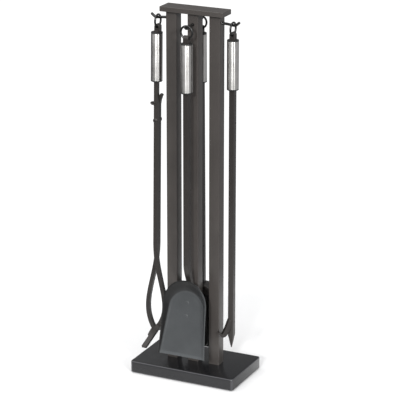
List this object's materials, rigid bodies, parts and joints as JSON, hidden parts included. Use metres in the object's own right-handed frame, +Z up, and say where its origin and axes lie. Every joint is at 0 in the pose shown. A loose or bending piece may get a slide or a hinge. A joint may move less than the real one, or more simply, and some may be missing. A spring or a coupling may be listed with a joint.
{
  "type": "fireplace tool set",
  "caption": "Fireplace tool set: a three-post stand on a slab base, with a poker, shovel, brush and log tongs hung by rings from four hooks.",
  "frame": {"origin": "middle of the feet, on the hearth", "axes": "+Z up along the posts, X along the long side of the base, -Y towards the front, where the shovel hangs"},
  "size_m": [0.256, 0.164, 0.846],
  "materials": {
    "base_black": "satin powder coat over a cast slab",
    "stand_black": "fine satin powder coat, warm charcoal black",
    "tool_black": "fine satin powder coat, charcoal black",
    "pan_black": "fine satin powder coat, slightly bluish charcoal",
    "brushed_steel": "stainless steel brushed along the handle",
    "black_cap": "satin black",
    "black_wire": "semi-gloss black rod and wire",
    "plated_steel": "dull zinc plating",
    "rubber": "matt moulded rubber",
    "bristle": "stiff black bristle",
    "block": "dark stained wood"
  },
  "bodies": {
    "stand": {"base": "base_black", "base_feet": "rubber", "base_bolts": "plated_steel", "base_washers": "plated_steel", "post_left": "stand_black", "post_middle": "stand_black", "post_right": "stand_black", "post_plugs": "plated_steel", "top_plate": "stand_black", "hook_left": "black_wire", "hook_right": "black_wire", "hook_front": "black_wire", "hook_back": "black_wire"},
    "poker_ring_body": {"poker_ring": "black_wire"},
    "poker": {"poker_shaft": "tool_black", "poker_prong": "tool_black", "poker_sleeve": "brushed_steel", "poker_caps": "black_cap"},
    "shovel_ring_body": {"shovel_ring": "black_wire"},
    "shovel": {"shovel_shaft": "tool_black", "shovel_sleeve": "brushed_steel", "shovel_caps": "black_cap", "shovel_pan": "pan_black", "shovel_rivets": "tool_black"},
    "brush_ring_body": {"brush_ring": "black_wire"},
    "brush": {"brush_shaft": "tool_black", "brush_sleeve": "brushed_steel", "brush_caps": "black_cap", "brush_ferrule": "tool_black", "brush_block": "block", "brush_bristles": "bristle"},
    "tongs_ring_body": {"tongs_ring": "black_wire"},
    "tongs": {"tongs_main_bar": "tool_black", "tongs_rivet": "tool_black", "tongs_finger_tab": "tool_black", "tongs_sleeve": "brushed_steel", "tongs_caps": "black_cap"},
    "tongs_lever": {"tongs_lever_bar": "tool_black"}
  },
  "joints": [
    {"name": "poker_lift", "type": "slide", "parent": "stand", "child": "poker_ring_body", "axis": [0.763, 0, 0.6463], "range_m": [0, 0.25]},
    {"name": "poker_swing", "type": "hinge", "parent": "poker_ring_body", "child": "poker", "pos_m": [0.0902, 0, 0.79573], "axis": [0, -1, 0], "range_deg": [0, 20]},
    {"name": "shovel_lift", "type": "slide", "parent": "stand", "child": "shovel_ring_body", "axis": [0, -0.763, 0.6463], "range_m": [0, 0.25]},
    {"name": "shovel_swing", "type": "hinge", "parent": "shovel_ring_body", "child": "shovel", "pos_m": [0, -0.0422, 0.78766], "axis": [-1, 0, 0], "range_deg": [0, 20]},
    {"name": "brush_lift", "type": "slide", "parent": "stand", "child": "brush_ring_body", "axis": [0, 0.763, 0.6463], "range_m": [0, 0.25]},
    {"name": "brush_swing", "type": "hinge", "parent": "brush_ring_body", "child": "brush", "pos_m": [0, 0.0282, 0.79601], "axis": [1, 0, 0], "range_deg": [0, 20]},
    {"name": "tongs_lift", "type": "slide", "parent": "stand", "child": "tongs_ring_body", "axis": [-0.763, 0, 0.6463], "range_m": [0, 0.25]},
    {"name": "tongs_swing", "type": "hinge", "parent": "tongs_ring_body", "child": "tongs", "pos_m": [-0.0902, 0, 0.79573], "axis": [0, 1, 0], "range_deg": [0, 20]},
    {"name": "tongs_open", "type": "hinge", "parent": "tongs", "child": "tongs_lever", "pos_m": [-0.09286, 0, 0.58374], "axis": [0, 1, 0], "range_deg": [0, 12]}
  ]
}
